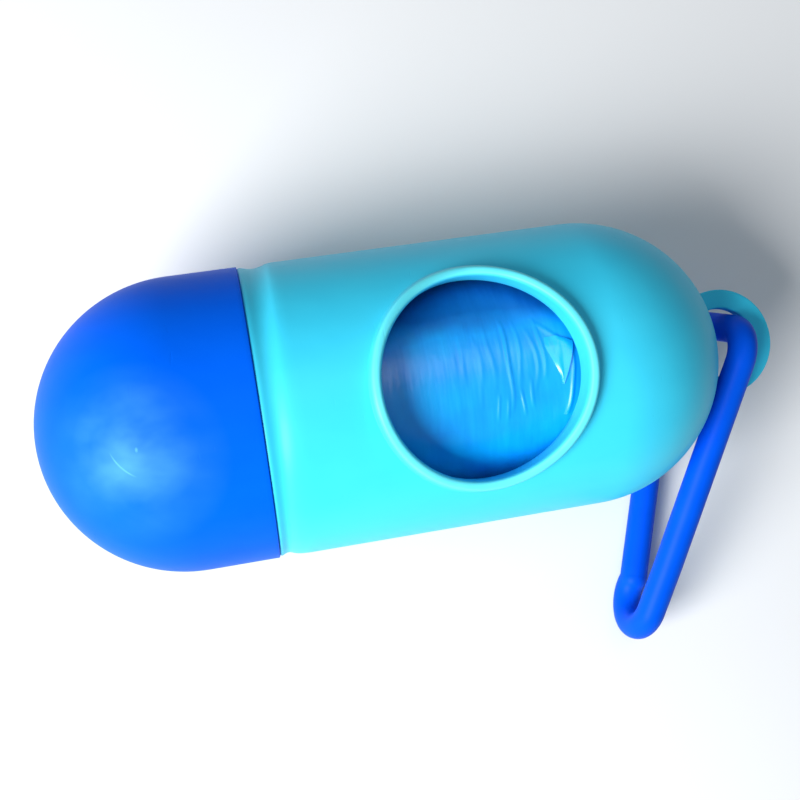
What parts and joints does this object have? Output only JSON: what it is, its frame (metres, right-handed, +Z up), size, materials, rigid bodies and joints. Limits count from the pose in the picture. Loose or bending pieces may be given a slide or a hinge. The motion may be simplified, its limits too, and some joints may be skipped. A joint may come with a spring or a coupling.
{
  "type": "dog poop bag dispenser",
  "caption": "Screw-together capsule that holds a roll of bags, with a round pull opening, an eyelet and a snap clip.",
  "frame": {"origin": "on the table under the middle of the box round the whole part", "axes": "+X along the capsule from the cap to the eyelet, +Z up and 9 degrees off the opening's axis, +Y away from the side the clip lies on"},
  "size_m": [0.0994, 0.0576, 0.0394],
  "materials": {
    "body_plastic": "satin",
    "cap_plastic": "satin",
    "cardboard": "raw",
    "bag_film": "thin film, slightly glossy",
    "clip_plastic": "satin gloss"
  },
  "bodies": {
    "body": {"body_shell": "body_plastic"},
    "cap_turn_carrier": {"roll_core": "cardboard"},
    "cap": {"cap": "cap_plastic"},
    "bags": {"bag_roll": "bag_film", "outer_bag": "bag_film", "bag_tail": "bag_film"},
    "clip": {"clip_hook": "clip_plastic"},
    "gate": {"clip_gate": "clip_plastic"}
  },
  "joints": [
    {"name": "cap_turn", "type": "hinge", "parent": "body", "child": "cap_turn_carrier", "pos_m": [0, 0.00983, 0.019], "axis": [-1, 0, 0], "range_deg": [0, 900]},
    {"name": "cap_lift", "type": "slide", "parent": "cap_turn_carrier", "child": "cap", "axis": [-1, 0, 0], "range_m": [0, 0.00751]},
    {"name": "roll_spin", "type": "hinge", "parent": "body", "child": "bags", "pos_m": [0, 0.00983, 0.019], "axis": [1, 0, 0], "continuous": true},
    {"name": "clip_swing", "type": "hinge", "parent": "body", "child": "clip", "pos_m": [0.044, 0.01151, 0.01926], "axis": [0, -0.1509, 0.9886], "range_deg": [0, 220]},
    {"name": "clip_gate", "type": "hinge", "parent": "clip", "child": "gate", "pos_m": [0.02897, -0.02038, 0.00302], "axis": [0.922, -0.3467, -0.1725], "range_deg": [0, 15], "stiffness_Nm_per_rad": 0.2}
  ],
  "couplings": [
    {"joint": "cap_lift", "follows": "cap_turn", "m_per_rad": 0.00047746}
  ]
}
